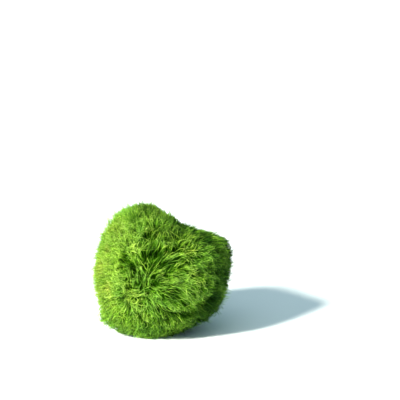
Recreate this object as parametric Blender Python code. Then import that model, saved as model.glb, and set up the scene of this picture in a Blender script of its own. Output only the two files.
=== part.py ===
"""Marimo moss ball: a loose ball of green filamentous alga, about 45 mm across
the tips of its filaments, resting on a small pressed flat.

The solid is the outer envelope that the filament tips reach. Units are metres,
+Z is up, -Y is the front, and the origin is at the middle of the resting face's
level, under the middle of the ball.
"""

import math

import bmesh
import bpy
from mathutils import Vector, noise

# ---------------------------------------------------------------- dimensions
BALL_NAME = "moss_ball"
BALL_WIDTH = 0.0450        # across the filament tips, left to right
BALL_DEPTH = 0.0446        # front to back
BODY_RADIUS = 0.0225       # mean reach of the tips from the middle of the ball
REST_DEPTH = 0.0206        # from the middle of the ball down to the pressed flat
SNAP_BAND = 0.00022        # corners this close to the flat are laid on it
BALL_FACETS = 5            # subdivisions of the starting sphere

# Broad swellings and hollows of the ball: (bearing, elevation, spread, height).
# Bearing is in degrees anticlockwise from +X seen from above, elevation is in
# degrees above the horizon, spread is in degrees, height is in metres.
SWELLINGS = {
    "crown": (152.0, 57.0, 28.0, 0.0024),
    "pressed_shoulder": (30.0, 64.0, 32.0, -0.0058),
    "right_shoulder": (4.0, 21.0, 20.0, 0.0022),
    "lower_left": (-164.0, -43.0, 20.0, 0.0033),
    "lower_right": (-12.0, -36.0, 16.0, 0.0015),
    "tucked_under": (-30.0, -62.0, 24.0, -0.0011),
    "left_waist": (-176.0, 2.0, 26.0, -0.0004),
    "front_ridge": (-58.0, 4.0, 24.0, 0.0009),
    "front_hollow": (-103.0, 14.0, 17.0, -0.0011),
    "front_brow": (-112.0, 48.0, 22.0, 0.0007),
    "front_foot": (-96.0, -38.0, 24.0, 0.0008),
    "back_left": (128.0, 8.0, 30.0, 0.0009),
    "back_right": (52.0, -14.0, 30.0, 0.0006),
    "back_hollow": (84.0, 24.0, 22.0, -0.0012),
}

# Smaller lumps that come from the way the ball rolls: (cycles, height, shift).
LUMPS = (
    (2.1, 0.00055, Vector((3.7, 11.2, 5.9))),
    (4.6, 0.00030, Vector((17.3, 2.4, 8.1))),
    (9.0, 0.00014, Vector((6.6, 19.8, 13.5))),
)

GREEN = (0.105, 0.235, 0.018, 1.0)
ROUGHNESS = 0.85
METALLIC = 0.0


def clear_scene():
    for obj in list(bpy.data.objects):
        bpy.data.objects.remove(obj, do_unlink=True)


def direction(bearing, elevation):
    b, e = math.radians(bearing), math.radians(elevation)
    return Vector((math.cos(b) * math.cos(e), math.sin(b) * math.cos(e), math.sin(e)))


def reach(d):
    """How far the filament tips reach from the middle of the ball along d."""
    r = BODY_RADIUS
    for bearing, elevation, spread, height in SWELLINGS.values():
        angle = math.degrees(d.angle(direction(bearing, elevation)))
        r += height * math.exp(-((angle / spread) ** 2))
    for cycles, height, shift in LUMPS:
        r += height * noise.noise(d * cycles + shift)
    return r


def swell(bm):
    """Turn the unit sphere into the ball's envelope."""
    for v in bm.verts:
        d = v.co.normalized()
        v.co = d * reach(d)


def fit_width(bm):
    """Bring the envelope to its driving width and depth, and centre it."""
    for axis, size in ((0, BALL_WIDTH), (1, BALL_DEPTH)):
        low = min(v.co[axis] for v in bm.verts)
        high = max(v.co[axis] for v in bm.verts)
        for v in bm.verts:
            v.co[axis] = (v.co[axis] - (low + high) / 2.0) * size / (high - low)


def press_flat(bm):
    """Cut the pressed flat that the ball rests on, as one flat face."""
    for v in bm.verts:
        if abs(v.co.z + REST_DEPTH) < SNAP_BAND:
            v.co.z = -REST_DEPTH
    cut = bmesh.ops.bisect_plane(
        bm,
        geom=bm.verts[:] + bm.edges[:] + bm.faces[:],
        dist=1e-7,
        plane_co=(0.0, 0.0, -REST_DEPTH),
        plane_no=(0.0, 0.0, -1.0),
        clear_outer=True,
    )
    rim = [e for e in cut["geom_cut"] if isinstance(e, bmesh.types.BMEdge)]
    bmesh.ops.contextual_create(bm, geom=rim)
    for v in bm.verts:
        v.co.z += REST_DEPTH
    bmesh.ops.triangulate(bm, faces=bm.faces[:])
    bmesh.ops.recalc_face_normals(bm, faces=bm.faces[:])


def moss_material():
    mat = bpy.data.materials.new("moss_green")
    mat.use_nodes = True
    shader = mat.node_tree.nodes["Principled BSDF"]
    shader.inputs["Base Color"].default_value = GREEN
    shader.inputs["Roughness"].default_value = ROUGHNESS
    shader.inputs["Metallic"].default_value = METALLIC
    mat.diffuse_color = GREEN
    return mat


def make_ball(collection):
    bpy.ops.mesh.primitive_ico_sphere_add(subdivisions=BALL_FACETS, radius=1.0)
    ball = bpy.context.active_object
    ball.name = BALL_NAME
    ball.data.name = BALL_NAME
    for c in list(ball.users_collection):
        c.objects.unlink(ball)
    collection.objects.link(ball)

    bm = bmesh.new()
    bm.from_mesh(ball.data)
    swell(bm)
    fit_width(bm)
    press_flat(bm)
    bm.to_mesh(ball.data)
    bm.free()

    ball.data.materials.append(moss_material())
    ball.data.shade_smooth()
    ball.data.set_sharp_from_angle(angle=math.radians(40.0))
    return ball


def main():
    clear_scene()
    collection = bpy.data.collections.new("marimo_moss_ball")
    bpy.context.scene.collection.children.link(collection)
    make_ball(collection)


main()
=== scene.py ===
import math

import bpy
import numpy as np
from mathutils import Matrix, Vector, kdtree
from mathutils.bvhtree import BVHTree


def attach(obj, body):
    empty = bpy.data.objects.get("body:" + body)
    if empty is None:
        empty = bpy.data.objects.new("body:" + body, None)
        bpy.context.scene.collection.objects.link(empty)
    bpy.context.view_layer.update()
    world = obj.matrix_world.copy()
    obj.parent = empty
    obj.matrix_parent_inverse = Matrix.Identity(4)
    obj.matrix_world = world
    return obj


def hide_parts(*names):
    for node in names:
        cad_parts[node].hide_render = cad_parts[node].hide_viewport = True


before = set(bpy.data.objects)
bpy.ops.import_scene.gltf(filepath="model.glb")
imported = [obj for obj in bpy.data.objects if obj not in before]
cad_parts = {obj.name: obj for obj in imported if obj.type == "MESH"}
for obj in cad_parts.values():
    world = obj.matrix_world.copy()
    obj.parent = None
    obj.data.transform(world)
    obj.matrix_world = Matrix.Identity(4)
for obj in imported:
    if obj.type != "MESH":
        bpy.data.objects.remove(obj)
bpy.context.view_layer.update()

# The looks of a marimo moss ball: a thatch of matted filaments, an undercoat, a
# combed and tangled coat gathered into tufts, a short velvet of upright tips, and
# single strands that bridge the partings. Everything is in metres, in the CAD
# frame: +Z up, -Y the front.

NODE = "moss_ball"
MM = 0.001
CENTRE = np.array((0.0, 0.0, 20.6 * MM))     # the middle that the ball grew from
MEAN_RADIUS = 21.8 * MM
VIEW_ELEVATION = math.radians(15.0)          # the photograph looks down this much


# ------------------------------------------------------------------ geometry
def direction(bearing, elevation):
    b, e = math.radians(bearing), math.radians(elevation)
    return np.array((math.cos(b) * math.cos(e), math.sin(b) * math.cos(e), math.sin(e)))


FRONT_UP = np.array((0.0, math.sin(VIEW_ELEVATION), math.cos(VIEW_ELEVATION)))


def from_front(right, up):
    """The direction from the ball's middle to a place on its front, given in mm
    right of and above the middle of the outline that the front view shows."""
    c, s = math.cos(VIEW_ELEVATION), math.sin(VIEW_ELEVATION)
    near_side = math.sqrt(max(22.3 ** 2 - right ** 2 - up ** 2, 1.0)) / 22.3
    # the view isn't quite parallel, which shifts what is on the near side
    right, up = right + 0.3 * near_side, up + (0.8 - 0.045 * up) * near_side
    toward = math.sqrt(max(22.3 ** 2 - right ** 2 - up ** 2, 1.0))
    p = np.array((right, up * s - toward * c, up * c + toward * s))
    return p / np.linalg.norm(p)


def unit(v):
    return v / np.maximum(np.linalg.norm(v, axis=-1, keepdims=True), 1e-12)


def near(d, place, wide):
    """1 at the place, falling away over so many degrees."""
    angle = np.degrees(np.arccos(np.clip(d @ place, -1.0, 1.0)))
    return np.exp(-((angle / wide) ** 2))


class Field:
    """Values over all directions, worked out on a grid and read smoothly."""

    def __init__(self, function, lat):
        self.lat, self.lon = lat, 2 * lat
        polar = math.pi * np.clip(np.arange(lat + 1), 0.01, lat - 0.01) / lat
        a = 2.0 * math.pi * np.arange(self.lon) / self.lon
        polar, a = np.meshgrid(polar, a, indexing="ij")
        d = np.stack([np.sin(polar) * np.cos(a), np.sin(polar) * np.sin(a), np.cos(polar)], axis=-1)
        values = function(d.reshape(-1, 3))
        self.flat = values.ndim == 1
        self.grid = values.reshape(lat + 1, self.lon, -1)

    def __call__(self, d):
        lat = np.arccos(np.clip(d[:, 2], -1.0, 1.0)) / math.pi * self.lat
        lon = (np.arctan2(d[:, 1], d[:, 0]) % (2.0 * math.pi)) / (2.0 * math.pi) * self.lon
        i = np.clip(np.floor(lat).astype(int), 0, self.lat - 1)
        j = np.floor(lon).astype(int) % self.lon
        k = (j + 1) % self.lon
        u, v = (lat - i)[:, None], (lon - np.floor(lon))[:, None]
        g = self.grid
        out = (g[i, j] * (1 - u) * (1 - v) + g[i + 1, j] * u * (1 - v)
               + g[i, k] * (1 - u) * v + g[i + 1, k] * u * v)
        return out[:, 0] if self.flat else out


def envelope(d):
    """How far the CAD solid reaches from CENTRE in each direction."""
    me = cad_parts[NODE].data
    tree = BVHTree.FromPolygons(
        [v.co.copy() for v in me.vertices], [tuple(p.vertices) for p in me.polygons]
    )
    origin = Vector(CENTRE)
    out = np.full(len(d), MEAN_RADIUS)
    for i, v in enumerate(d):
        hit = tree.ray_cast(origin, Vector(v))
        if hit[0] is not None:
            out[i] = hit[3]
    return out


def smooth_noise(d, cell, seed, waves=16):
    """A smooth random field over directions, about -1 to 1, that changes sign
    about every `cell` mm along the surface."""
    rng = np.random.default_rng(seed)
    rate = math.pi * MEAN_RADIUS / MM / cell
    total = np.zeros(len(d))
    for _ in range(waves):
        w = unit(rng.normal(size=3)) * rate * rng.uniform(0.6, 1.4)
        total += np.sin(d @ w + rng.uniform(0, 2 * math.pi))
    return total / math.sqrt(waves / 2.0) * 0.7


def smooth_vectors(d, cell, seed):
    return np.stack([smooth_noise(d, cell, seed + i) for i in range(3)], axis=1)


def spread_points(n, rng, jitter=0.8):
    """n directions spread evenly over the sphere, each shifted at random."""
    i = np.arange(n) + 0.5
    polar = np.arccos(1 - 2 * i / n)
    a = math.pi * (1 + 5 ** 0.5) * i
    d = np.stack([np.cos(a) * np.sin(polar), np.sin(a) * np.sin(polar), np.cos(polar)], axis=1)
    return unit(d + rng.normal(size=(n, 3)) * jitter * math.sqrt(4 * math.pi / n) * 0.5)


# ------------------------------------------------------- how the coat is laid
# How the front is combed: mm right and up of the middle of the outline, the
# heading on the front view in degrees (0 right, 90 up), how far the filaments
# lean over in mm, and how tangled they are, from 0 to 1.
GROOM = (
    (-20.7, 2.7, 172, 1.4, 0.70),
    (-21.0, -6.5, 184, 1.5, 0.60),
    (-19.0, -13.8, 208, 1.7, 0.70),
    (-17.8, -16.8, 214, 2.2, 0.20),
    (-18.0, 11.8, 146, 1.5, 0.80),
    (-13.4, 17.0, 126, 1.5, 0.85),
    (-7.6, 20.2, 104, 1.4, 0.80),
    (-1.2, 19.6, 72, 1.8, 0.55),
    (2.9, 17.0, 48, 2.6, 0.50),
    (3.5, 11.6, 118, 2.2, 1.00),
    (10.3, 12.4, 46, 2.6, 0.40),
    (16.3, 9.1, 24, 2.2, 0.40),
    (9.6, 4.2, -6, 3.2, 0.55),
    (2.4, 3.2, 34, 4.2, 0.20),
    (-3.9, 6.7, 44, 3.0, 0.50),
    (-9.9, 12.8, 112, 1.7, 1.00),
    (-15.7, 6.7, 166, 1.6, 0.95),
    (12.3, -3.4, -20, 3.2, 0.50),
    (19.0, -1.7, -24, 2.2, 0.45),
    (9.6, -9.2, -46, 3.6, 0.40),
    (4.6, -14.0, -48, 3.8, 0.38),
    (-3.9, -16.2, -78, 3.0, 0.60),
    (2.2, -19.6, -92, 2.4, 0.30),
    (-8.9, -18.6, -104, 2.4, 0.60),
    (-15.4, -13.2, 216, 1.9, 0.85),
    (14.4, -11.4, -44, 2.6, 0.30),
    (17.2, 3.4, -4, 2.4, 0.50),
    (-14.2, 0.6, 150, 2.0, 0.65),
    (-11.0, 1.4, 104, 2.4, 0.60),
    (-11.0, -4.6, 96, 2.8, 0.55),
    (-7.4, 1.6, 88, 3.0, 0.55),
    (-7.4, -3.6, 92, 3.4, 0.55),
    (-5.2, -5.4, 88, 3.0, 0.55),
    (-3.4, -1.8, 64, 3.6, 0.50),
    (-0.6, -4.4, 62, 3.4, 0.60),
    (-2.4, 3.4, 45, 4.0, 0.35),
    (2.6, -0.8, 30, 4.2, 0.30),
    (6.6, -1.6, 0, 3.4, 0.50),
    (1.2, -7.0, 6, 3.2, 0.45),
    (4.8, -6.6, -12, 3.4, 0.48),
    (-9.2, -8.3, 8, 2.3, 1.00),
    (-12.6, -8.5, 190, 2.2, 0.95),
    (-5.2, -7.8, 40, 2.3, 0.85),
    (-1.8, -7.0, 5, 2.0, 0.60),
    (-14.2, -5.2, 128, 2.2, 0.75),
    (-15.6, -10.0, 202, 2.2, 0.70),
    (-11.8, -12.2, 268, 2.4, 0.95),
    (-8.4, -11.6, -58, 2.6, 0.95),
    (-2.6, -11.2, -50, 3.6, 0.45),
    (3.0, -10.8, -34, 3.8, 0.42),
)
# Whorls that the rest of the coat lies away from: direction, spread in degrees,
# push outward, swirl round the whorl.
WHORLS = (
    (direction(78.0, 12.0), 55.0, 1.00, -0.30),
    (direction(168.0, 28.0), 34.0, 0.55, 0.50),
    (direction(14.0, -30.0), 34.0, 0.50, -0.45),
    (direction(-30.0, 78.0), 30.0, 0.45, 0.60),
    (direction(120.0, -60.0), 36.0, 0.60, 0.35),
)
# Broad hollows of the coat: from and to on the front, half-width, depth in mm.
HOLLOWS = (
    (-10.6, 1.6, -9.8, -4.4, 2.5, 1.6),
    (-6.6, 1.2, -6.0, -4.6, 2.5, 1.6),
    (-2.4, -2.4, 1.4, -4.2, 2.4, 1.6),
    (-4.6, 7.6, 0.8, 1.4, 2.4, 1.3),
    (2.0, -7.8, 5.6, -8.8, 1.5, 0.4),
    (2.0, -14.8, 8.6, -15.6, 1.6, 0.9),
    (8.6, -15.0, 16.0, -10.4, 2.4, 1.5),
    (-4.0, 11.6, 3.0, 12.2, 1.8, 0.4),
)
# Dark partings: from and to on the front, half-width and depth in mm.
PARTINGS = (
    (-10.9, 1.6, -9.4, -0.6, 0.8, 1.8),
    (-11.6, -3.4, -10.8, -6.2, 0.7, 1.8),
    (-9.0, -2.6, -8.6, -5.6, 0.6, 1.6),
    (-6.8, -3.0, -6.6, -6.0, 0.6, 1.6),
    (-9.9, -0.2, -9.7, -2.4, 0.4, 1.6),
    (-7.6, 0.8, -7.4, -1.2, 0.4, 1.5),
    (-5.4, -1.0, -5.2, -4.4, 0.4, 1.6),
    (-3.4, -2.4, -2.6, -5.4, 1.0, 2.0),
    (-1.6, -5.2, 0.6, -5.5, 0.7, 1.8),
    (0.6, -1.4, 1.8, -2.0, 0.6, 1.4),
    (2.2, -8.0, 5.6, -9.2, 0.8, 1.7),
    (-5.6, 4.6, -1.6, 6.2, 0.9, 1.6),
    (-3.6, 1.4, 0.2, 3.2, 0.8, 1.6),
    (3.4, 6.2, 5.2, 7.4, 0.6, 1.5),
    (0.6, 1.4, 4.6, 3.4, 0.5, 1.5),
    (-5.2, 11.8, -2.2, 12.0, 0.7, 1.4),
    (2.0, 11.2, 5.2, 12.4, 0.8, 1.1),
    (-2.8, 15.4, -1.2, 14.4, 0.7, 1.3),
    (-8.8, 17.6, -7.8, 17.8, 1.3, 3.2),
    (-12.8, 5.8, -12.2, 5.0, 0.6, 1.4),
    (-14.2, -9.4, -12.9, -10.8, 0.9, 3.0),
    (-11.4, -11.2, -10.9, -12.8, 0.8, 3.0),
    (-4.9, -9.6, -3.8, -11.0, 0.6, 1.6),
    (-0.4, -13.8, 7.6, -15.6, 0.8, 1.3),
    (10.2, -2.0, 13.2, -1.6, 0.4, 1.0),
    (6.6, 1.2, 8.6, 1.6, 0.4, 1.0),
    (12.0, 6.4, 14.0, 5.2, 0.4, 1.0),
)
# Pale locks of a few strands that lie over the coat: points on the front, in mm
# right and up, from root to tip.
LOCKS = (
    ((-4.4, -7.3), (-2.0, -9.8), (1.7, -11.6), (6.9, -14.4)),
    ((-4.7, -7.7), (-3.2, -11.0), (-0.7, -13.8), (0.5, -15.6)),
    ((-12.7, -8.6), (-10.5, -8.3), (-8.4, -8.7), (-6.3, -8.0), (-4.4, -7.3)),
    ((-12.0, -7.8), (-9.4, -7.6), (-6.8, -7.2)),
    ((-12.1, -8.0), (-13.0, -5.5), (-14.2, -4.3), (-15.5, -2.8)),
    ((-12.4, -8.6), (-14.6, -8.6), (-16.5, -10.0)),
    ((-11.8, -8.9), (-11.5, -11.6), (-12.1, -14.4)),
    ((-11.5, -9.2), (-9.9, -11.6), (-8.1, -13.2), (-5.7, -14.7)),
    ((-8.6, -7.7), (-8.9, -3.0), (-8.7, 1.9)),
    ((-6.6, -6.9), (-6.4, -2.4), (-6.9, 2.2)),
    ((-10.9, -6.8), (-11.3, -2.0), (-12.1, 2.8)),
    ((-12.1, -6.4), (-13.6, -3.4), (-14.8, 0.0)),
    ((-2.6, -6.2), (-2.2, -4.0), (-1.0, -2.4), (1.6, -1.4)),
    ((-14.1, 12.6), (-12.8, 14.1), (-11.0, 15.0)),
    ((-9.4, 9.8), (-7.3, 11.3), (-5.5, 12.4)),
    ((-8.2, 7.3), (-6.1, 7.7), (-4.9, 8.9), (-3.0, 9.5)),
    ((-3.6, 14.4), (-3.4, 17.0), (-3.6, 19.0)),
    ((-11.3, 6.4), (-9.6, 6.9), (-7.9, 6.4), (-6.7, 5.2)),
    ((-0.5, 2.7), (2.0, 3.9), (4.1, 4.8), (5.6, 5.8)),
    ((8.1, 11.0), (10.2, 12.8), (12.7, 13.7)),
    ((6.6, 9.0), (8.6, 10.4), (10.6, 12.2)),
    ((14.2, 8.8), (16.6, 7.6), (18.5, 7.0)),
    ((10.2, 6.4), (12.7, 6.4), (15.4, 5.2), (17.0, 3.2)),
    ((5.0, 1.8), (7.4, 1.2), (9.6, 0.8), (11.8, 1.8)),
    ((7.1, -1.0), (9.6, -1.9), (12.4, -3.4)),
    ((1.3, -1.0), (4.7, -1.0), (7.4, -1.9), (9.9, -3.7)),
    ((5.8, -6.1), (8.2, -8.0), (10.1, -10.7)),
    ((3.9, -4.3), (7.9, -6.7), (10.6, -9.7), (11.6, -12.0)),
    ((-0.3, -8.9), (2.7, -11.0), (6.4, -13.5), (7.9, -14.7)),
    ((3.3, -17.2), (3.0, -19.0), (1.8, -20.2)),
    ((-3.0, -9.2), (0.6, -11.4), (4.2, -13.6), (7.4, -15.6)),
    ((-0.4, -8.2), (3.8, -10.0), (7.6, -12.4), (10.4, -14.4)),
    ((1.6, -7.8), (5.6, -8.8), (9.2, -10.8), (12.0, -13.2)),
    ((-5.6, -9.4), (-3.4, -12.6), (-1.4, -15.4), (0.2, -17.8)),
    ((4.6, -5.2), (8.6, -6.2), (12.0, -8.2), (14.2, -10.4)),
    ((-15.3, -13.3), (-16.2, -15.0), (-18.0, -15.8)),
    ((-11.3, -11.2), (-9.6, -13.8), (-9.1, -17.0)),
    ((-13.8, 13.8), (-12.9, 11.6), (-13.4, 9.6)),
    ((-13.3, 14.0), (-11.2, 13.4), (-9.6, 12.2)),
    ((-12.6, 6.6), (-10.4, 8.2), (-7.6, 9.6)),
    ((3.0, -3.3), (5.2, -3.2), (7.6, -3.8)),
    ((2.4, -4.6), (4.6, -4.4), (7.2, -5.2)),
    ((-1.4, -5.0), (0.8, -4.5), (3.0, -4.2)),
)
# The same, gathered tighter.
TIGHT_LOCKS = (
    ((-4.4, -6.7), (-4.5, -3.6), (-3.6, -1.9), (-1.3, -0.4), (0.4, 0.2), (1.9, 1.2)),
    ((-4.2, -6.2), (-4.4, -3.2), (-2.9, -1.5), (0.5, 0.5), (3.2, 3.1), (6.9, 5.8)),
    ((-4.4, -7.0), (-0.7, -6.3), (2.9, -6.4), (6.0, -6.7)),
    ((-11.6, -8.9), (-14.5, -8.8), (-18.7, -8.6)),
    ((-11.2, -9.4), (-8.9, -8.8), (-6.3, -8.6), (-4.4, -7.9)),
    ((-12.0, -9.4), (-12.4, -12.0), (-13.6, -14.2)),
    ((-11.4, -9.6), (-10.0, -11.6), (-7.8, -13.1), (-6.3, -14.6)),
    ((-11.6, -8.8), (-12.4, -6.6), (-13.4, -4.8)),
    ((-8.5, -5.6), (-8.7, -3.2), (-8.5, -1.2)),
    ((-9.5, -6.6), (-9.9, -4.6), (-9.8, -2.6)),
    ((-7.0, -2.4), (-7.0, -0.4), (-7.2, 1.6)),
    ((-5.9, -4.8), (-5.8, -2.8), (-5.5, -1.0)),
    ((-4.6, -6.6), (-4.8, -4.4), (-4.4, -2.4)),
    ((-1.2, 2.2), (1.2, 3.5), (3.6, 4.7), (6.0, 5.9)),
)
OTHER_LOCKS = 90          # more of them, spread over the rest of the ball
SMALL_PARTINGS = 240      # more of them, spread over the rest of the ball
# Painted shade: a deeper green put where shade falls on the ball, from the front: mm right and up, spread in degrees,
# strength.
PAINTED_SHADE = ((15.9, 10.6, 9.0, 0.97), (-8.0, -2.9, 9.0, 0.66), (-10.6, 1.2, 5.5, 0.85), (-3.0, -4.8, 6.0, 0.40), (-10.6, -5.8, 4.5, 0.32), (-14.0, -6.1, 4.5, 0.22), (6.2, -2.9, 4.5, 0.30), (2.9, 4.2, 4.0, 0.16), (10.6, 4.0, 5.0, 0.50), (-0.6, -3.0, 7.0, 0.66),
        (-3.4, 7.0, 7.0, 0.66), (-0.4, 5.0, 6.5, 0.74), (2.4, 1.6, 7.0, 0.88), (16.0, 0.6, 7.0, 0.84), (14.6, 3.6, 5.0, 0.30),
        (-4.0, 20.5, 15.0, 0.80), (-0.2, 18.4, 8.0, 0.72), (3.6, 16.8, 9.0, 0.85), (6.4, 14.4, 9.0, 0.85), (3.0, 14.6, 7.0, 0.60), (2.8, 10.8, 4.0, 0.35), (0.0, 14.4, 5.0, 0.55),
        (-3.8, 12.4, 6.0, 0.10), (3.2, -15.8, 6.0, 0.78), (-0.2, -16.8, 6.0, 0.85), (-5.0, -19.5, 14.0, 0.52),
        (4.2, -9.2, 6.5, 0.72), (-3.6, 0.8, 5.5, 0.42), (-14.0, -2.8, 4.5, 0.30), (-12.4, -17.4, 8.0, 0.48), (-17.4, 2.8, 7.0, 0.32), (-0.4, -19.8, 6.0, 0.80), (-0.5, -6.0, 4.0, 0.22), (-0.5, 0.7, 4.0, 0.72), (12.6, 1.0, 4.5, 0.26), (6.2, -18.6, 5.0, 0.55),
        (9.8, -16.4, 6.0, 0.62), (12.8, -15.4, 6.0, 0.92),
        (-8.2, 18.0, 3.6, 1.00), (0.4, 17.6, 4.0, 0.60), (-13.5, -10.1, 3.0, 0.70), (-11.2, -12.0, 3.0, 0.70), (-4.6, -10.4, 3.0, 0.30))
# Bands of painted shade, a deeper green where shade falls: from and to on the front, half-width, strength.
PAINTED_SHADE_BANDS = ((22.0, 9.0, 21.6, 5.0, 6.0, 0.85), (21.6, 5.0, 21.4, 0.0, 5.4, 0.62), (21.4, 0.0, 18.8, -5.5, 7.2, 0.12),
              (18.0, 8.6, 18.6, 1.4, 3.6, 0.60),
              (18.8, -5.5, 17.4, -10.9, 6.0, 0.28), (17.4, -10.9, 13.9, -16.2, 4.7, 0.97),
              (13.4, -15.8, 10.6, -20.0, 4.0, 0.95),
              (22.2, -2.0, 19.6, -11.6, 4.6, 0.15), (19.6, -11.8, 17.4, -15.2, 4.4, 0.85),
              (17.2, -14.7, 12.6, -18.6, 4.6, 0.95), (-15.0, -19.6, 6.0, -21.9, 1.6, 0.50),
              (3.4, 18.2, 7.2, 16.4, 2.0, 0.85), (7.2, 16.4, 12.4, 15.4, 1.7, 0.80), (12.4, 15.4, 17.2, 12.6, 1.7, 0.60))
OLIVE = ((4.4, 11.4, 11.0, 0.40), (-12.0, -9.0, 8.0, 0.15), (-1.4, 13.4, 6.0, 0.60), (-16.8, 12.0, 17.0, 0.70), (-20.8, 1.0, 15.0, 0.95), (-20.4, -7.0, 14.0, 0.85),
         (-18.0, 8.0, 8.0, 0.90), (-18.4, -5.6, 9.0, 0.85))
# Painted light: a paler colour where the coat is to look more lit, from the front: mm right and up, spread in degrees,
# strength.
PAINTED_LIGHT = ((-20.0, 1.0, 16.0, 0.20), (-17.0, -10.0, 20.0, 0.42), (-13.2, 10.8, 12.0, 0.90), (-8.8, 8.2, 7.5, 0.85),
        (-11.2, -8.6, 8.0, 0.85), (-7.4, -10.4, 8.0, 0.90), (-4.4, -9.2, 6.0, 0.85), (10.2, -2.6, 7.5, 1.00),
        (12.6, -3.4, 6.5, 1.00), (9.4, 7.4, 7.0, 1.00), (8.8, -7.6, 7.0, 0.45), (2.0, -8.4, 5.0, 0.20),
        (4.6, -3.4, 6.0, 0.30), (12.8, -5.0, 7.0, 0.80), (7.4, 7.4, 5.0, 0.70), (10.4, 7.6, 5.0, 0.50), (-4.0, 14.2, 6.0, 0.60), (-5.6, -16.2, 8.0, 0.70), (-7.0, -15.8, 5.0, 1.00), (19.6, -9.0, 5.0, 0.60), (2.4, 7.6, 5.0, 0.75), (6.2, 0.8, 5.0, 1.00), (6.4, -15.4, 4.0, 0.40), (12.2, 7.2, 5.0, 0.90), (10.4, 12.0, 4.5, 0.60), (-0.5, -12.8, 4.0, 0.50), (9.6, -9.2, 4.0, 0.60), (9.4, -2.4, 4.5, 0.60), (-10.4, 4.8, 4.0, 0.50), (-3.9, 10.4, 4.5, 0.45), (-17.6, -6.2, 8.0, 0.90))
# Where the colour varies less from filament to filament.
CALM = ((-16.8, 12.0, 17.0, 0.75), (-20.8, 1.0, 15.0, 0.95), (-20.4, -7.0, 14.0, 0.85), (-18.0, 8.0, 8.0, 0.90),
        (-18.4, -5.6, 9.0, 0.85))

# Where the coat stands longer, from the front: mm right and up, spread in
# degrees, mm more.
LONGER = (
    (-2.5, 21.5, 22.0, 1.6),
    (18.8, 9.4, 15.0, 2.2),
    (21.0, -2.0, 22.0, 1.3),
    (6.0, 17.0, 12.0, 0.7),
    (-17.6, -15.6, 13.0, 0.0),
    (-19.0, 9.0, 20.0, 0.6),
    (-2.0, -20.0, 24.0, -1.0),
    (4.4, -21.0, 10.0, -1.9),
    (14.4, -17.0, 10.0, -0.9),
    (3.4, 18.6, 6.0, 1.9),
    (15.4, 13.0, 7.0, -0.8),
    (20.2, -11.2, 6.0, -0.6),
    (-15.0, -16.0, 8.0, 0.6),
    (-17.0, -14.4, 4.5, 1.2),
    (-19.2, -11.2, 5.0, -0.8),
    (-11.0, -8.8, 7.0, 0.6),
    (-6.8, -9.6, 7.0, 0.5),
    (9.2, -3.4, 8.0, 0.4),
    (21.6, 8.4, 9.0, 0.9),
    (-11.4, -19.4, 10.0, -0.5),
)
COAT_STANDS = 0.75        # mm that the coat's tips stand over the solid
# Where the filaments are finer, from the front: mm right and up, spread in
# degrees, by what share.
FINER = ((-18.5, 4.0, 34.0, 0.34), (-6.0, 18.0, 20.0, 0.22), (-16.0, -14.0, 20.0, 0.15))
# Tufts that stand off the outline: mm right and up of their roots, how far the
# roots spread in mm, the heading on the front view in degrees, length and rise of
# the tips in mm, and how many filaments.
FEATHERS = (
    (8.4, 12.6, 1.5, 40, 4.2, 2.2, 14),
    (11.6, 12.0, 1.4, 34, 4.0, 2.0, 12),
    (14.6, 10.8, 1.3, 30, 3.6, 1.9, 10),
    (5.4, 14.0, 1.5, 58, 3.4, 2.2, 12),
    (8.6, 15.0, 0.9, 50, 4.2, 2.8, 10),
    (11.6, 13.6, 0.9, 40, 4.6, 2.8, 12),
    (14.6, 12.0, 0.9, 34, 4.4, 2.6, 12),
    (17.4, 9.6, 0.9, 26, 3.8, 2.2, 10),
    (1.4, 15.6, 1.3, 56, 4.6, 3.2, 7),
    (-0.8, 17.6, 1.6, 66, 3.6, 2.4, 9),
    (0.2, 13.8, 0.5, 54, 5.6, 2.8, 4),
    (-9.0, 19.0, 2.2, 112, 2.6, 2.0, 14),
    (-14.2, 15.2, 2.4, 132, 2.6, 2.2, 20),
    (-18.0, 9.6, 2.4, 152, 2.6, 2.2, 20),
    (-20.4, 3.4, 2.4, 168, 2.6, 2.1, 18),
    (-20.8, -3.8, 2.4, 182, 2.4, 2.0, 16),
    (-19.6, -10.6, 2.2, 200, 2.4, 1.8, 12),
    (18.6, -11.0, 1.8, -20, 3.4, 2.4, 9),
    (15.4, -15.2, 1.8, -36, 3.6, 2.4, 9),
    (-16.4, -13.9, 0.8, 216, 3.2, 2.8, 22),
    (11.2, -18.0, 1.8, -50, 3.0, 1.8, 7),
)

groom_at = np.array([from_front(a, b) for a, b, *_ in GROOM])
groom_heading = np.array([
    (math.cos(math.radians(h)), math.sin(math.radians(h)) * FRONT_UP[1], math.sin(math.radians(h)) * FRONT_UP[2])
    for _, _, h, _, _ in GROOM
])
groom_lean = np.array([g[3] for g in GROOM])
groom_tangle = np.array([g[4] for g in GROOM])


def lay_of(d):
    """Heading (3), lean in mm and tangle at each direction."""
    w = np.exp(-((np.degrees(np.arccos(np.clip(d @ groom_at.T, -1.0, 1.0))) / 9.5) ** 2))
    f = w @ groom_heading
    total = w.sum(axis=1)
    for centre, wide, outward, swirl in WHORLS:
        cosine = (d @ centre)[:, None]
        f += 0.16 * near(d, centre, wide)[:, None] * (
            outward * unit(d * cosine - centre) + swirl * unit(np.cross(centre, d)))
    lean = (w @ groom_lean + 0.10 * (2.5 + 0.9 * smooth_noise(d, 16.0, 61))) / (total + 0.10)
    tangle = (w @ groom_tangle + 0.10 * (0.42 + 0.40 * smooth_noise(d, 12.0, 91))) / (total + 0.10)
    tangle = np.clip(tangle, 0.0, 1.0)
    rough = (0.05 + 0.22 * tangle)[:, None] * np.maximum(np.linalg.norm(f, axis=1, keepdims=True), 0.1) * 1.6
    f = f + rough * (smooth_vectors(d, 7.0, 11) + 0.8 * smooth_vectors(d, 3.0, 21))
    f -= np.sum(f * d, axis=1, keepdims=True) * d
    return np.column_stack([unit(f), np.clip(lean, 1.0, 5.4), tangle])


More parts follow.
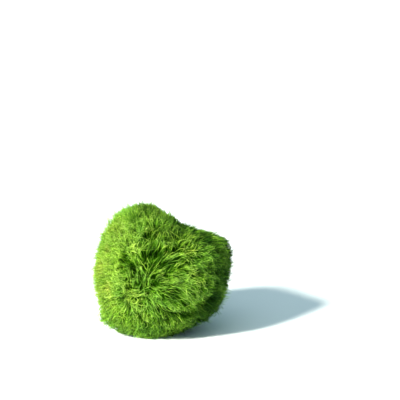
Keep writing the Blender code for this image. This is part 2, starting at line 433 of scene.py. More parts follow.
def troughs(d, items):
    """How deep the troughs are at d, in metres, and how near d is to the middle
    line of one, from 0 to 1."""
    depth, close = np.zeros(len(d)), np.zeros(len(d))
    for start, end, width, deep in items:
        run = end - start
        size = max(float(run @ run), 1e-12)
        t = np.clip(((d - start) @ run) / size, 0.0, 1.0)
        off = d - start - t[:, None] * run
        fall = np.exp(-np.sum(off * off, axis=1) / width ** 2)
        depth = np.maximum(depth, fall * deep)
        close = np.maximum(close, fall)
    return depth, close


def on_front(items):
    return [(from_front(a, b), from_front(c, e), w * MM / MEAN_RADIUS, deep * MM) for a, b, c, e, w, deep in items]


def partings():
    rng = np.random.default_rng(77)
    out = [(a, b, w * 1.45, deep * 1.1) for a, b, w, deep in on_front(PARTINGS)]
    whole = ((from_front(-18.5, -1.0), 18.0), (from_front(-6.2, -14.8), 6.0))
    for c in spread_points(SMALL_PARTINGS, rng, 1.4):
        width = rng.uniform(0.35, 0.75) * MM / 0.0222
        run = unit(np.cross(c, rng.normal(size=3))) * rng.uniform(0.0, 3.5) * MM / 0.0222
        deep = rng.uniform(0.7, 1.5) * MM
        if all(near(c, place, wide) < 0.37 for place, wide in whole):
            out.append((c, unit(c + run), width, deep))
    return out


def relief_of(d):
    """How far the coat lies under the envelope, in metres, and how near each
    direction is to a parting: tufts with creases between them, broad hollows
    and partings."""
    tufty = smooth_noise(d, 4.2, 41, 24)
    small = smooth_noise(d, 1.7, 42, 24)
    crease = 0.30 * np.exp(-((tufty / 0.20) ** 2)) + 0.60 * np.exp(-((small / 0.25) ** 2))
    crease *= 0.60 + 0.60 * lay(d)[:, 4]
    broad = 0.35 * np.clip(0.5 + smooth_noise(d, 8.0, 43), 0.0, 1.5) - COAT_STANDS
    for a, b, wide, more in LONGER:
        broad -= more * near(d, from_front(a, b), wide)
    hollow, _ = troughs(d, on_front(HOLLOWS))
    gap, close = troughs(d, partings())
    return np.column_stack([(crease + broad) * MM + hollow + 0.7 * gap, close])


def patches_of(d):
    """Painted shade (deep), olive, painted light (pale) and calm patches of the coat's colour, each from 0 to 1."""
    out = []
    for items in (PAINTED_SHADE, OLIVE, PAINTED_LIGHT, CALM):
        value = np.zeros(len(d))
        for a, b, wide, strength in items:
            value = np.maximum(value, strength * near(d, from_front(a, b), wide))
        out.append(value)
    for a, b, c, e, wide, strength in PAINTED_SHADE_BANDS:
        _, close = troughs(d, on_front([(a, b, c, e, wide, 1.0)]))
        out[0] = np.maximum(out[0], strength * np.exp(-np.log(np.maximum(close, 1e-9)) ** 2))
    # a smooth random field adds random darker and paler tone to the painted shade and painted light
    wander = smooth_noise(d, 9.0, 311)
    out[0] = out[0] + 0.30 * np.clip(wander, 0.0, 1.0) * (1.0 - out[2])
    out[2] = out[2] + 0.30 * np.clip(-wander, 0.0, 1.0)
    return np.clip(np.stack(out, axis=1), 0.0, 1.0)


reach = Field(envelope, 180)
lay = Field(lay_of, 240)
relief = Field(relief_of, 360)
patches = Field(patches_of, 120)


def walk(d, rng, steps, travel, loose, curl, jitter):
    """Follow the coat from each root direction. Returns (n, steps + 1, 3)."""
    n = len(d)
    path = [d]
    messy = 0.35 + 1.5 * lay(d)[:, 4] ** 1.3
    heading = rng.normal(size=n) * loose * messy
    bend = rng.normal(size=n) * curl * messy
    s = np.linspace(0.0, 1.0, steps + 1)
    for k in range(steps):
        here = path[-1]
        f = lay(here)[:, :3]
        side = np.cross(here, f)
        a = heading + bend * (k / steps) + rng.normal(size=n) * jitter
        step = f * np.cos(a)[:, None] + side * np.sin(a)[:, None]
        path.append(unit(here + step * (travel * (s[k + 1] - s[k]) / MEAN_RADIUS)[:, None]))
    return np.stack(path, axis=1)


def place(path, depth, follow=1.0):
    """Directions and depths under the coat's surface to points."""
    n, m, _ = path.shape
    flat = path.reshape(-1, 3)
    r = reach(flat) - depth.reshape(-1) - follow * relief(flat)[:, 0]
    return (CENTRE + flat * r[:, None]).reshape(n, m, 3)


# ------------------------------------------------------------------ filaments
def rise(n, steps, root, tip, arch):
    """Depth at each node: steep at first, then lying over."""
    s = np.linspace(0.0, 1.0, steps + 1)[None, :]
    return tip[:, None] + (root - tip)[:, None] * (1.0 - s) ** arch[:, None]


def wave_about(points, rng, amount, turns):
    """Give each filament its own slight wave, growing from the root."""
    n, m, _ = points.shape
    axis = unit(points[:, -1] - points[:, 0])
    a = unit(np.cross(axis, rng.normal(size=(n, 3))))
    b = np.cross(axis, a)
    s = np.linspace(0.0, 1.0, m)[None, :]
    phase = rng.uniform(0, 2 * math.pi, size=(n, 1))
    w = turns[:, None] * 2 * math.pi * s + phase
    size = (amount[:, None] * np.sqrt(s))[:, :, None]
    return points + size * (np.sin(w)[:, :, None] * a[:, None] + np.cos(w * 0.8)[:, :, None] * b[:, None] * 0.7)


def tubes(points, radius, rng):
    """Vertices of three-sided tapered tubes along points, each with a pointed
    tip: (n, 3 * (m - 1) + 1, 3)."""
    n, m, _ = points.shape
    tangent = np.empty_like(points)
    tangent[:, 1:-1] = points[:, 2:] - points[:, :-2]
    tangent[:, 0] = points[:, 1] - points[:, 0]
    tangent[:, -1] = points[:, -1] - points[:, -2]
    tangent = unit(tangent)
    ref = unit(np.cross(points[:, -1] - points[:, 0], rng.normal(size=(n, 3))))[:, None]
    a = unit(np.cross(tangent, ref))
    b = np.cross(tangent, a)
    rings = []
    start = rng.uniform(0, 2 * math.pi, size=(n, 1, 1))
    for i in range(3):
        w = start + 2 * math.pi * i / 3
        rings.append(points[:, :-1] + radius[:, :-1, None] * (np.cos(w) * a[:, :-1] + np.sin(w) * b[:, :-1]))
    body = np.stack(rings, axis=2).reshape(n, (m - 1) * 3, 3)
    return np.concatenate([body, points[:, -1:]], axis=1)


def lay_on_floor(points, radius, rng):
    """Keep filaments above the surface that the ball rests on."""
    lift = rng.uniform(0.02, 0.30, size=(len(points), 1)) * MM
    low = radius * 1.05 + 0.04 * MM + lift * np.linspace(0.3, 1.0, points.shape[1])[None, :]
    points[:, :, 2] = np.maximum(points[:, :, 2], low)
    return points


def put(me, name, values):
    attribute = me.attributes.new(name, "FLOAT", "POINT")
    attribute.data.foreach_set("value", np.asarray(values, np.float32).reshape(-1))


def filament_mesh(name, points, radius, tint, rng):
    """One mesh of closed filaments, with what its material reads per point."""
    n, m, _ = points.shape
    points = lay_on_floor(points, radius, rng)
    co = tubes(points, radius, rng)
    per = co.shape[1]
    segments = m - 1
    quads, tris = [], []
    for k in range(segments - 1):
        for i in range(3):
            j = (i + 1) % 3
            quads.append((3 * k + i, 3 * k + j, 3 * (k + 1) + j, 3 * (k + 1) + i))
    for i in range(3):
        tris.append((3 * (segments - 1) + i, 3 * (segments - 1) + (i + 1) % 3, per - 1))
    tris.append((2, 1, 0))
    quads, tris = np.array(quads).reshape(-1, 4), np.array(tris)
    base = (np.arange(n) * per)[:, None, None]
    q = (quads[None] + base).reshape(-1)
    t = (tris[None] + base).reshape(-1)
    loops = np.concatenate([q, t]).astype(np.int32)
    starts = np.concatenate([
        np.arange(n * len(quads)) * 4,
        n * len(quads) * 4 + np.arange(n * len(tris)) * 3,
    ]).astype(np.int32)

    me = bpy.data.meshes.new(name)
    me.vertices.add(n * per)
    me.vertices.foreach_set("co", co.reshape(-1).astype(np.float32))
    me.loops.add(len(loops))
    me.loops.foreach_set("vertex_index", loops)
    me.polygons.add(len(starts))
    me.polygons.foreach_set("loop_start", starts)

    def each_vertex(values):
        return np.concatenate([np.repeat(values[:, :-1], 3, axis=1), values[:, -1:]], axis=1)

    out = points.reshape(-1, 3) - CENTRE
    d = unit(out)
    under = (reach(d) - np.linalg.norm(out, axis=1)).reshape(n, m) / (4.0 * MM)
    tone = patches(d).reshape(n, m, 4)
    put(me, "along", each_vertex(np.tile(np.linspace(0.0, 1.0, m), (n, 1))))
    put(me, "tint", np.repeat(tint, per))
    put(me, "under", each_vertex(np.clip(under, 0.0, 1.0)))
    # deep carries the painted shade, pale the painted light, each with some random tone
    for i, key in enumerate(("deep", "olive", "painted_light_and_pale_tone", "calm")):
        put(me, key, each_vertex(tone[:, :, i]))

    # A small strip of the bake map for each filament, three columns wide.
    columns = max(1, int(math.ceil(math.sqrt(n * 1.6))))
    rows = int(math.ceil(n / columns))

    def corner(vertex, column):
        if vertex == per - 1:
            return (column + 0.5, segments)
        return (column, vertex // 3)

    uq = [[corner(v, i + (1 if c in (1, 2) else 0)) for c, v in enumerate(quads[f])]
          for f in range(len(quads)) for i in [f % 3]]
    ut = []
    for f in range(3):
        ut.append([corner(tris[f][0], f), corner(tris[f][1], f + 1), (f + 0.5, segments)])
    ut.append([(2.0, -0.35), (1.0, -0.35), (1.5, 0.0)])
    uq, ut = np.array(uq, float).reshape(-1, 2), np.array(ut, float).reshape(-1, 2)
    pad = 0.12
    size = np.array((3.0, segments + 0.35))
    shift = np.array((0.0, 0.35))
    cell = np.array((1.0 / columns, 1.0 / rows))
    where = np.stack([np.arange(n) % columns, np.arange(n) // columns], axis=1) * cell

    def laid(local):
        local = (local + shift) / size * (1 - 2 * pad) + pad
        return (local[None] * cell + where[:, None]).reshape(-1)

    layer = me.uv_layers.new(name="OFBake")
    layer.uv.foreach_set("vector", np.concatenate([laid(uq), laid(ut)]).astype(np.float32))

    me.update(calc_edges=True)
    me.validate()
    me.shade_smooth()
    obj = bpy.data.objects.new(name, me)
    bpy.context.scene.collection.objects.link(obj)
    return obj


def thickness(rng, n, m, root, middle, tip):
    s = np.linspace(0.0, 1.0, m)[None, :]
    profile = np.interp(s[0], (0.0, 0.45, 1.0), (root, middle, tip))[None, :]
    return profile * rng.uniform(0.70, 1.40, size=(n, 1)) * MM


def finer(points):
    """Filaments are finer where the coat is soft."""
    d = unit(points[:, 0] - CENTRE)
    less = np.zeros(len(d))
    for a, b, wide, share in FINER:
        less = np.maximum(less, share * near(d, from_front(a, b), wide))
    return (1.0 - less)[:, None]


def gather(points, guides, which, strength, power, drift):
    """Draw filaments towards their tuft's guide, more towards their tips."""
    m = points.shape[1]
    s = np.linspace(0.0, 1.0, m)[None, :, None]
    pull = strength[:, None, None] * s ** power
    return points * (1 - pull) + (guides[which] + drift) * pull


def nearest(points, targets):
    tree = kdtree.KDTree(len(targets))
    for i, p in enumerate(targets):
        tree.insert(Vector(p), i)
    tree.balance()
    return np.array([tree.find(Vector(p))[1] for p in points])


def clear_of_partings(points, rng, keep):
    """False for most of the filaments that would cross a parting."""
    n, m, _ = points.shape
    close = relief(unit(points[:, 1:] - CENTRE).reshape(-1, 3))[:, 1]
    return (close.reshape(n, m - 1).max(axis=1) < 0.42) | (rng.random(n) < keep)


def arch_for(lean, rng):
    """Upright filaments rise straight, long ones lie over."""
    return np.clip(0.85 + 0.34 * (lean - 1.1), 0.8, 2.2) * rng.uniform(0.85, 1.2, len(lean))


def tufts(count, seed, steps, root, ragged, above=None):
    """Guide filaments, one for each tuft of the coat. Small tufts lean towards
    the larger locks that they belong to."""
    rng = np.random.default_rng(seed)
    d = spread_points(count, rng, 1.1)
    here = lay(d)
    lean = here[:, 3] * rng.lognormal(0.0, 0.20, count)
    path = walk(d, rng, steps, lean * MM, 0.42, 0.60, 0.10)
    sunk = 0.5 + ragged * np.clip(0.20 + here[:, 4], 0.0, 1.0)
    upper = rng.random(count) < 0.45
    tip = np.where(upper, rng.uniform(0.0, 0.45, count), rng.uniform(0.5, 1.0, count) * sunk) * MM
    depth = rise(count, steps, np.full(count, root * MM), tip, arch_for(lean, rng))
    points = place(path, depth)
    if above is not None:
        which = nearest(d, above[0])
        drift = (points[:, :1] - above[1][which][:, :1]) * 0.55
        points = gather(points, above[1], which, rng.uniform(0.0, 0.16, count), 1.2, drift)
        points = wave_about(points, rng, (0.05 + 0.16 * here[:, 4]) * rng.random(count) * MM, rng.uniform(0.5, 1.4, count))
    return d, points, lean, rng.uniform(0, 1, count)


def coat(count, seed, steps, guides, root, keep=0.10, stray=0.05):
    """A layer of the coat, gathered into tufts. Returns points, tint."""
    rng = np.random.default_rng(seed)
    d = spread_points(count, rng, 1.2)
    tuft_d, tuft_path, tuft_lean, tuft_tint = guides
    which = nearest(d, tuft_d)
    lean = tuft_lean[which] * rng.uniform(0.6, 1.25, count)
    path = walk(d, rng, steps, lean * MM, 0.45, 0.60, 0.16)
    tangle = lay(d)[:, 4]
    tip = rng.random(count) * (0.6 + 1.6 * tangle) * MM
    out = rng.random(count) < stray
    tip = np.where(out, -rng.uniform(0.0, 0.6, count) * MM, tip)
    depth = rise(count, steps, np.full(count, root * MM), tip, arch_for(lean, rng))
    points = place(path, depth)
    strength = np.clip(rng.normal(0.34, 0.26, count), 0.0, 0.95) * np.where(out, 0.2, 1.0)
    drift = (points[:, :1] - tuft_path[which][:, :1]) * 0.10 + rng.normal(size=(count, 1, 3)) * 0.08 * MM
    points = gather(points, tuft_path, which, strength, 1.1, drift)
    points = wave_about(points, rng, rng.uniform(0.03, 0.20, count) * MM, rng.uniform(0.5, 1.3, count))
    kept = clear_of_partings(points, rng, keep)
    tint = np.clip(0.5 * tuft_tint[which] + 0.5 * rng.random(count), 0, 1)
    return points[kept], tint[kept], rng


# ------------------------------------------------------------------ materials
def nodes_of(mat):
    mat.use_nodes = True
    tree = mat.node_tree
    return tree, tree.nodes["Principled BSDF"]


def link(tree, a, b):
    tree.links.new(a, b)


def ramp(tree, stops, factor):
    node = tree.nodes.new("ShaderNodeValToRGB")
    while len(node.color_ramp.elements) < len(stops):
        node.color_ramp.elements.new(0.5)
    for e, (at, colour) in zip(node.color_ramp.elements, stops):
        e.position, e.color = at, (*colour, 1.0)
    link(tree, factor, node.inputs["Fac"])
    return node.outputs["Color"]


def read(tree, name):
    node = tree.nodes.new("ShaderNodeAttribute")
    node.attribute_name = name
    return node.outputs["Fac"]


def noise(tree, scale, detail=2.0, rough=0.5, distort=0.0):
    coords = tree.nodes.new("ShaderNodeTexCoord")
    node = tree.nodes.new("ShaderNodeTexNoise")
    node.inputs["Scale"].default_value = scale
    node.inputs["Detail"].default_value = detail
    node.inputs["Roughness"].default_value = rough
    node.inputs["Distortion"].default_value = distort
    link(tree, coords.outputs["Object"], node.inputs["Vector"])
    return node.outputs["Fac"]


def spread(tree, value, low, high, to_low, to_high):
    node = tree.nodes.new("ShaderNodeMapRange")
    link(tree, value, node.inputs["Value"])
    for key, v in (("From Min", low), ("From Max", high), ("To Min", to_low), ("To Max", to_high)):
        node.inputs[key].default_value = v
    return node.outputs["Result"]


def mix(tree, kind, factor, a, b):
    node = tree.nodes.new("ShaderNodeMix")
    node.data_type = "RGBA"
    node.blend_type = kind
    if hasattr(factor, "is_output"):
        link(tree, factor, node.inputs["Factor"])
    else:
        node.inputs["Factor"].default_value = factor
    for value, socket in ((a, node.inputs[6]), (b, node.inputs[7])):
        if hasattr(value, "is_output"):
            link(tree, value, socket)
        else:
            socket.default_value = (*value, 1.0)
    return node.outputs[2]


def bump(tree, shader, height, strength, distance):
    node = tree.nodes.new("ShaderNodeBump")
    node.inputs["Strength"].default_value = strength
    node.inputs["Distance"].default_value = distance
    link(tree, height, node.inputs["Height"])
    link(tree, node.outputs["Normal"], shader.inputs["Normal"])


def filament_material(name, stops, shine, painted_light_and_pale_tone):
    """Green filaments: dark at the root, yellower at the tip, darker again deep
    in the coat as painted shade, with painted shade and painted light in patches, and each filament and each patch a
    little different."""
    mat = bpy.data.materials.new(name)
    tree, shader = nodes_of(mat)
    colour = ramp(tree, stops, read(tree, "along"))
    tint = read(tree, "tint")
    calm = spread(tree, read(tree, "calm"), 0.0, 1.0, 1.0, 0.45)
    each = ramp(tree, ((0.0, (0.36, 0.50, 0.36)), (0.5, (1.0, 1.0, 1.0)), (1.0, (1.47, 1.31, 1.42))), tint)
    colour = mix(tree, "MULTIPLY", calm, colour, each)
    # Painted shade in the recesses: filaments darken the deeper they lie under the coat's surface.
    buried_shade = ramp(tree, ((0.0, (1.0, 1.0, 1.0)), (0.30, (0.88, 0.94, 0.72)), (0.60, (0.60, 0.74, 0.35)), (1.0, (0.38, 0.56, 0.17))), read(tree, "under"))
    colour = mix(tree, "MULTIPLY", calm, colour, buried_shade)
    # Painted shade: the deep patches multiply in a dark green.
    shade = tree.nodes.new("ShaderNodeMath")
    shade.operation = "MULTIPLY"
    link(tree, read(tree, "deep"), shade.inputs[0])
    link(tree, spread(tree, tint, 0.0, 1.0, 1.12, 0.88), shade.inputs[1])
    colour = mix(tree, "MULTIPLY", shade.outputs[0], colour, (0.07, 0.17, 0.05))
    colour = mix(tree, "MULTIPLY", read(tree, "olive"), colour, (1.05, 0.75, 0.88))
    # Painted light: the pale patches brighten the colour.
    colour = mix(tree, "MULTIPLY", read(tree, "painted_light_and_pale_tone"), colour, painted_light_and_pale_tone)
    patch = noise(tree, 130.0, 3.0, 0.6)
    colour = mix(tree, "MULTIPLY", 1.0, colour,
                 ramp(tree, ((0.34, (0.72, 0.86, 0.78)), (0.5, (1.0, 1.0, 1.0)), (0.68, (1.12, 1.05, 0.92))), patch))
    speck = noise(tree, 1400.0, 2.0, 0.6)
    colour = mix(tree, "MULTIPLY", calm, colour,
                 ramp(tree, ((0.32, (0.60, 0.64, 0.56)), (0.68, (1.24, 1.22, 1.22))), speck))
    link(tree, colour, shader.inputs["Base Color"])
    rough = noise(tree, 700.0, 2.0, 0.5)
    link(tree, spread(tree, rough, 0.3, 0.7, 0.42, 0.72), shader.inputs["Roughness"])
    shader.inputs["Metallic"].default_value = 0.0
    shader.inputs["IOR"].default_value = 1.40
    shader.inputs["Specular IOR Level"].default_value = shine
    bump(tree, shader, noise(tree, 5200.0, 2.0, 0.6), 0.25, 0.00004)
    return mat


def thatch_material():
    mat = bpy.data.materials.new("moss_thatch")
    tree, shader = nodes_of(mat)
    matted = noise(tree, 900.0, 5.0, 0.7, 1.5)
    patch = noise(tree, 120.0, 2.0, 0.5)
    # Painted shade: a very dark green for the bottom of the gaps, lighter where the coat is calm.
    colour = ramp(tree, ((0.25, (0.007, 0.030, 0.001)), (0.55, (0.020, 0.075, 0.002)), (0.8, (0.042, 0.125, 0.005))), matted)
    colour = mix(tree, "MULTIPLY", 1.0, colour,
                 ramp(tree, ((0.3, (0.8, 0.9, 0.8)), (0.7, (1.2, 1.1, 0.9))), patch))
    colour = mix(tree, "MIX", spread(tree, read(tree, "calm"), 0.0, 1.0, 0.0, 0.6), colour, (0.050, 0.145, 0.008))
    link(tree, colour, shader.inputs["Base Color"])
    link(tree, spread(tree, matted, 0.3, 0.7, 0.7, 0.95), shader.inputs["Roughness"])
    shader.inputs["Specular IOR Level"].default_value = 0.0
    bump(tree, shader, matted, 0.9, 0.0004)
    return mat


# --------------------------------------------------------------------- pieces
def thatch():
    """The matted filaments under the coat, seen only at the bottom of gaps."""
    bpy.ops.mesh.primitive_ico_sphere_add(subdivisions=6, radius=1.0)
    obj = bpy.context.active_object
    obj.name = "moss_thatch"
    obj.data.name = "moss_thatch"
    me = obj.data
    co = np.empty(len(me.vertices) * 3, np.float32)
    me.vertices.foreach_get("co", co)
    d = unit(co.reshape(-1, 3).astype(float))
    r = reach(d) - 3.6 * MM - relief(d)[:, 0] + 0.30 * MM * smooth_noise(d, 3.0, 301) + 0.20 * MM * smooth_noise(d, 1.3, 302)
    p = CENTRE + d * r[:, None]
    p[:, 2] = np.maximum(p[:, 2], 0.35 * MM)
    me.vertices.foreach_set("co", p.reshape(-1).astype(np.float32))
    put(me, "calm", patches(d)[:, 3])
    me.update()
    me.shade_smooth()
    return obj


def chosen(count, rng, jitter, weight):
    """Directions picked with a chance that depends on the place."""
    d = spread_points(count * 3, rng, jitter)
    w = weight(d)
    keep = rng.random(len(d)) < w * count / max(w.sum(), 1e-9)
    return d[keep]


pieces = []
STEPS = 4
LAYERS = 3
PER_LAYER = 8600
ROOT = 4.2
scale = 1.0

base = thatch()
base.data.materials.append(thatch_material())
pieces.append(base)

# The last colour of each is how much the painted light patches brighten it.
under_mat = filament_material("moss_undercoat", (
    (0.0, (0.018, 0.070, 0.002)), (0.5, (0.052, 0.165, 0.005)), (1.0, (0.125, 0.300, 0.012))), 0.03, (1.60, 1.30, 1.50))
coat_mat = filament_material("moss_coat", (
    (0.0, (0.018, 0.078, 0.002)), (0.45, (0.064, 0.205, 0.007)), (0.78, (0.150, 0.385, 0.018)), (1.0, (0.252, 0.530, 0.046))), 0.08, (2.00, 1.55, 1.80))
velvet_mat = filament_material("moss_velvet", (
    (0.0, (0.032, 0.110, 0.004)), (0.5, (0.150, 0.370, 0.018)), (1.0, (0.330, 0.610, 0.076))), 0.12, (1.60, 1.24, 1.55))
strand_mat = filament_material("moss_strands", (
    (0.0, (0.085, 0.240, 0.012)), (0.4, (0.240, 0.480, 0.044)), (1.0, (0.392, 0.650, 0.116))), 0.18, (1.55, 1.22, 1.45))

# undercoat: short, dark and in every direction
rng = np.random.default_rng(501)
n = int(5600 * scale)
d = spread_points(n, rng, 1.3)
path = walk(d, rng, 2, rng.uniform(1.0, 3.5, n) * MM, 1.0, 0.8, 0.3)
depth = rise(n, 2, np.full(n, 4.6 * MM), rng.uniform(1.6, 3.0, n) * MM, rng.uniform(0.9, 1.6, n))
points = wave_about(place(path, depth), rng, rng.uniform(0.05, 0.3, n) * MM, rng.uniform(0.4, 1.2, n))
obj = filament_mesh("moss_undercoat", points, thickness(rng, n, 3, 0.11, 0.11, 0.05), rng.random(n), rng)
obj.data.materials.append(under_mat)
pieces.append(obj)

# coat: interleaved layers that share the same tufts
locks = tufts(900, 799, STEPS, ROOT, 1.0)
guides = tufts(7500, 801, STEPS, ROOT, 2.2, locks)
for layer in range(LAYERS):
    points, tint, rng = coat(int(PER_LAYER * scale), 900 + layer, STEPS, guides, ROOT)
    m = points.shape[1]
    obj = filament_mesh(f"moss_coat_{layer + 1}", points, thickness(rng, len(points), m, 0.061, 0.073, 0.027) * finer(points), tint, rng)
    obj.data.materials.append(coat_mat)
    pieces.append(obj)

# velvet: short fine tips that stand out of the coat, thickest where it is short
for layer in range(2):
    rng = np.random.default_rng(1401 + layer)
    d = chosen(int(6600 * scale), rng, 1.5, lambda d: 0.15 + np.clip(3.0 - lay(d)[:, 3], 0.0, 2.0) ** 1.5 + 0.8 * near(d, from_front(-17.0, 6.0), 28.0))
    n = len(d)
    path = walk(d, rng, 2, rng.uniform(0.3, 2.2, n) * MM, 1.1, 0.8, 0.3)
    tip = rng.uniform(-0.8, 1.6, n) * MM
    depth = rise(n, 2, np.full(n, 2.6 * MM), tip, rng.uniform(0.8, 1.2, n))
    points = wave_about(place(path, depth), rng, rng.uniform(0.03, 0.22, n) * MM, rng.uniform(0.4, 1.0, n))
    points = points[clear_of_partings(points, rng, 0.08)]
    n = len(points)
    obj = filament_mesh(f"moss_velvet_{layer + 1}", points, thickness(rng, n, 3, 0.052, 0.058, 0.024), rng.random(n), rng)
    obj.data.materials.append(velvet_mat)
    pieces.append(obj)

# flyaways: the finest tips, which make the soft edge of the outline
rng = np.random.default_rng(1501)
d = chosen(int(5600 * scale), rng, 1.6, lambda d: 0.35 + np.clip(3.2 - lay(d)[:, 3], 0.0, 2.0)
           + 1.6 * near(d, from_front(-16.5, 14.0), 22.0) + 1.0 * near(d, from_front(-21.0, 0.0), 18.0))
n = len(d)
path = walk(d, rng, 3, rng.uniform(0.4, 2.4, n) * MM, 1.0, 0.9, 0.3)
depth = rise(n, 3, np.full(n, 1.8 * MM), -rng.uniform(0.0, 1.0, n) ** 1.8 * 2.4 * MM, rng.uniform(0.8, 1.3, n))
points = wave_about(place(path, depth), rng, rng.uniform(0.05, 0.3, n) * MM, rng.uniform(0.4, 1.1, n))
points = points[clear_of_partings(points, rng, 0.15)]
n = len(points)
obj = filament_mesh("moss_flyaways", points, thickness(rng, n, 4, 0.060, 0.064, 0.028), rng.random(n), rng)
obj.data.materials.append(velvet_mat)
pieces.append(obj)

# web: coarser strands, loosely laid over the coat with gaps between them
rng = np.random.default_rng(1301)
d = chosen(int(8600 * scale), rng, 1.5, lambda d: 0.45 + np.clip(0.9 - relief(d)[:, 0] / MM - COAT_STANDS, 0.0, 1.2))
n = len(d)
steps = 4
here = lay(d)
path = walk(d, rng, steps, (1.2 + 0.55 * here[:, 3]) * rng.uniform(0.6, 1.4, n) * MM, 0.56, 0.28, 0.13)
s = np.linspace(0.0, 1.0, steps + 1)[None, :]
top = rng.uniform(-0.25, 0.9, n)[:, None]
depth = (top + 2.0 * np.clip(1 - s / 0.45, 0, 1) + rng.uniform(-0.35, 0.6, n)[:, None] * np.clip((s - 0.6) / 0.4, 0, 1)) * MM
points = wave_about(place(path, depth, 0.85), rng, rng.uniform(0.02, 0.13, n) * MM, rng.uniform(0.5, 1.3, n))
points = points[clear_of_partings(points, rng, 0.15)]
n = len(points)
obj = filament_mesh("moss_web", points, thickness(rng, n, steps + 1, 0.074, 0.096, 0.034) * finer(points), rng.random(n), rng)
obj.data.materials.append(strand_mat)
pieces.append(obj)

# strands: single long filaments over the coat, most of them where it is tangled
rng = np.random.default_rng(1201)
d = chosen(int(2600 * scale), rng, 1.6, lambda d: 0.10 + lay(d)[:, 4] ** 2)
n = len(d)
steps = 6
path = walk(d, rng, steps, rng.uniform(2.5, 6.5, n) * MM, 0.50, 0.30, 0.07)
s = np.linspace(0.0, 1.0, steps + 1)[None, :]
top = rng.uniform(0.0, 1.4, n)[:, None]
depth = (top + 2.4 * np.clip(1 - s / 0.25, 0, 1) ** 1.5 + rng.uniform(0.0, 1.2, n)[:, None] * np.clip((s - 0.7) / 0.3, 0, 1)) * MM
points = wave_about(place(path, depth, 0.45), rng, rng.uniform(0.02, 0.18, n) * MM, rng.uniform(0.5, 1.6, n))
points = points[clear_of_partings(points, rng, 0.75)]
n = len(points)
obj = filament_mesh("moss_strands", points, thickness(rng, n, steps + 1, 0.062, 0.072, 0.030) * finer(points), rng.random(n), rng)
obj.data.materials.append(strand_mat)
pieces.append(obj)

# locks: a few strands side by side, swept over the coat
def lock_lines():
    rng = np.random.default_rng(1600)
    lines = [np.array([from_front(a, b) for a, b in line]) for line in TIGHT_LOCKS + LOCKS]
    front = from_front(0.0, 0.0)
    for start in spread_points(OTHER_LOCKS, rng, 1.6):
        if start @ front < 0.25:
            turn = rng.normal() * 0.8
            line = walk(start[None], rng, 4, np.array([rng.uniform(3.0, 6.5)]) * MM, 0.9, 0.9, 0.15)[0]
            lines.append(unit(line + 0.02 * turn * np.cross(line, line[-1] - line[0])))
    return lines


def along_line(line, t):
    """Smoothly read directions at t from 0 to 1 along a line of directions."""
    k = len(line)
    u = np.clip(t, 0.0, 1.0) * (k - 1)
    i = np.clip(np.floor(u).astype(int), 0, k - 2)
    f = (u - i)[..., None]
    p0, p1, p2, p3 = (line[np.clip(i + o, 0, k - 1)] for o in (-1, 0, 1, 2))
    return 0.5 * (2 * p1 + (p2 - p0) * f + (2 * p0 - 5 * p1 + 4 * p2 - p3) * f ** 2 + (3 * p1 - p0 - 3 * p2 + p3) * f ** 3)


rng = np.random.default_rng(1601)
steps = 6
parts = []
for i, line in enumerate(lock_lines()):
    n = int(rng.integers(7, 12) if i < len(TIGHT_LOCKS + LOCKS) else rng.integers(6, 11))
    share, narrow = (0.65, 0.20) if i < len(TIGHT_LOCKS) else (0.35, 0.30)
    length = np.linalg.norm(np.diff(line, axis=0), axis=1).sum() * MEAN_RADIUS / MM
    part = np.clip(rng.uniform(2.2, 4.6, n) / length, 0.3, 0.95)
    begin = rng.uniform(0.0, 1.0, n) * (1.0 - part)
    t = begin[:, None] + part[:, None] * np.linspace(0.0, 1.0, steps + 1)[None, :]
    d = along_line(line, t)
    aside = unit(np.cross(d, np.gradient(d, axis=1)))
    slide = rng.normal(size=(n, 1)) * 0.75 + rng.normal(size=(n, 1)) * 0.8 * np.linspace(-0.5, 1.0, steps + 1)[None, :]
    slide *= np.where(rng.random((n, 1)) < share, narrow, 1.0)
    parts.append(unit(d + aside * (slide * MM / MEAN_RADIUS)[:, :, None]))
path = np.concatenate(parts)
n = len(path)
s = np.linspace(0.0, 1.0, steps + 1)[None, :]
depth = (rng.uniform(-0.3, 0.7, n)[:, None] + 1.8 * np.clip(1 - s / 0.22, 0, 1) + rng.uniform(-0.3, 0.8, n)[:, None] * np.clip((s - 0.7) / 0.3, 0, 1)) * MM
points = wave_about(place(path, depth, 0.55), rng, rng.uniform(0.03, 0.16, n) * MM, rng.uniform(0.6, 1.6, n))
obj = filament_mesh("moss_locks", points, thickness(rng, n, steps + 1, 0.066, 0.082, 0.032) * finer(points), rng.uniform(0.2, 1.0, n), rng)
obj.data.materials.append(strand_mat)
pieces.append(obj)

# feathers: tufts that stand off the outline
rng = np.random.default_rng(1701)
steps = 5
roots, ways, runs, rises = [], [], [], []
for a, b, wide, heading, length, up, n in FEATHERS:
    for _ in range(n):
        roots.append(from_front(a + rng.normal() * wide, b + rng.normal() * wide))
        h = math.radians(heading + rng.normal() * 16.0)
        ways.append((math.cos(h), math.sin(h) * FRONT_UP[1], math.sin(h) * FRONT_UP[2]))
        runs.append(length * rng.uniform(0.6, 1.15))
        rises.append(up * rng.uniform(0.3, 1.0))
d, way = np.array(roots), np.array(ways)
n = len(d)
bend = rng.normal(size=(n, 1)) * 0.35
path = [d]
for k in range(steps):
    here = path[-1]
    along = unit(way - np.sum(way * here, axis=1, keepdims=True) * here)
    aside = np.cross(here, along)
    path.append(unit(here + (along + aside * bend * k / steps) * (np.array(runs) * MM / MEAN_RADIUS / steps)[:, None]))
path = np.stack(path, axis=1)
s = np.linspace(0.0, 1.0, steps + 1)[None, :]
depth = (1.6 - (1.6 + np.array(rises)[:, None]) * s ** 0.8) * MM
points = wave_about(place(path, depth), rng, rng.uniform(0.03, 0.16, n) * MM, rng.uniform(0.5, 1.2, n))
obj = filament_mesh("moss_feathers", points, thickness(rng, n, steps + 1, 0.084, 0.092, 0.032), rng.uniform(0.3, 1.0, n), rng)
obj.data.materials.append(velvet_mat)
pieces.append(obj)

for obj in pieces:
    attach(obj, "root")
    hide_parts(NODE)


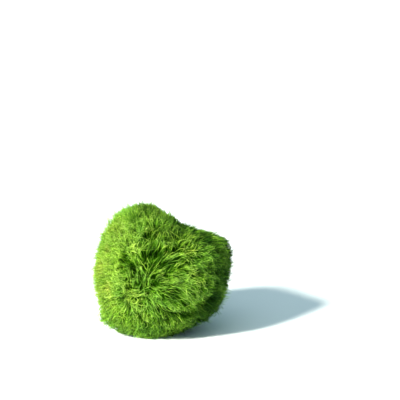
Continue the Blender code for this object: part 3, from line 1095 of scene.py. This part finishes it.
# ---------------------------------------------------------------------- stage
def studio():
    bpy.ops.mesh.primitive_plane_add(size=12.0, location=(0.0, 0.0, -0.00005))
    floor = bpy.context.active_object
    floor.name = "floor"
    mat = bpy.data.materials.new("pale_floor")
    tree, shader = nodes_of(mat)
    tone = ramp(tree, ((0.3, (0.91, 0.96, 0.98)), (0.7, (0.93, 0.98, 1.0))), noise(tree, 3.0, 2.0))
    link(tree, tone, shader.inputs["Base Color"])
    shader.inputs["Roughness"].default_value = 0.8
    shader.inputs["Specular IOR Level"].default_value = 0.1
    floor.data.materials.append(mat)

    world = bpy.data.worlds.new("studio")
    bpy.context.scene.world = world
    world.use_nodes = True
    tree = world.node_tree
    back = tree.nodes["Background"]
    back.inputs["Strength"].default_value = 0.60
    way = tree.nodes.new("ShaderNodeTexCoord")
    turn = tree.nodes.new("ShaderNodeVectorMath")
    turn.operation = "DOT_PRODUCT"
    turn.inputs[1].default_value = tuple(direction(-140.0, 20.0))
    link(tree, way.outputs["Generated"], turn.inputs[0])
    side = spread(tree, turn.outputs["Value"], -0.7, 0.8, 0.0, 1.0)
    link(tree, ramp(tree, ((0.0, (0.24, 0.38, 0.44)), (1.0, (0.64, 0.93, 1.02))), side), back.inputs["Color"])
    seen = tree.nodes.new("ShaderNodeBackground")
    seen.inputs["Color"].default_value = (1.0, 1.0, 1.0, 1.0)
    seen.inputs["Strength"].default_value = 1.05
    path = tree.nodes.new("ShaderNodeLightPath")
    both = tree.nodes.new("ShaderNodeMixShader")
    link(tree, path.outputs["Is Camera Ray"], both.inputs["Fac"])
    link(tree, back.outputs["Background"], both.inputs[1])
    link(tree, seen.outputs["Background"], both.inputs[2])
    link(tree, both.outputs["Shader"], tree.nodes["World Output"].inputs["Surface"])

    def sun(name, bearing, elevation, strength, angle, colour):
        light = bpy.data.lights.new(name, "SUN")
        light.energy = strength
        light.angle = math.radians(angle)
        light.color = colour
        obj = bpy.data.objects.new(name, light)
        toward = Vector(direction(bearing, elevation))
        obj.rotation_mode = "QUATERNION"
        obj.rotation_quaternion = toward.to_track_quat("Z", "Y")
        obj.location = toward * 0.5
        bpy.context.scene.collection.objects.link(obj)

    sun("key", -136.0, 31.0, 9.2, 8.0, (1.0, 0.97, 0.86))
    sun("fill", -100.0, 50.0, 0.5, 40.0, (0.96, 1.0, 1.0))


def camera():
    scene = bpy.context.scene
    pixel = 45.0 * MM / 133.4                      # the ball spans 133.4 of 400 pixels
    distance = 0.70
    elevation = math.radians(13.2)
    ahead = np.array((0.0, math.cos(elevation), -math.sin(elevation)))
    up = np.array((0.0, math.sin(elevation), math.cos(elevation)))
    middle = np.array((0.0, 0.0, 21.2 * MM))
    target = middle + np.array((1.0, 0.0, 0.0)) * 38.4 * pixel + up * 70.4 * pixel
    data = bpy.data.cameras.new("camera")
    data.sensor_width = 36.0
    data.lens = 36.0 * distance / (400.0 * pixel)
    data.clip_start, data.clip_end = 0.01, 50.0
    data.dof.use_dof = False
    obj = bpy.data.objects.new("camera", data)
    obj.location = Vector(target - ahead * distance)
    obj.rotation_mode = "QUATERNION"
    obj.rotation_quaternion = Vector(-ahead).to_track_quat("Z", "Y")
    scene.collection.objects.link(obj)
    scene.camera = obj
    scene.view_settings.view_transform = "Standard"
    scene.view_settings.look = "None"


studio()
camera()
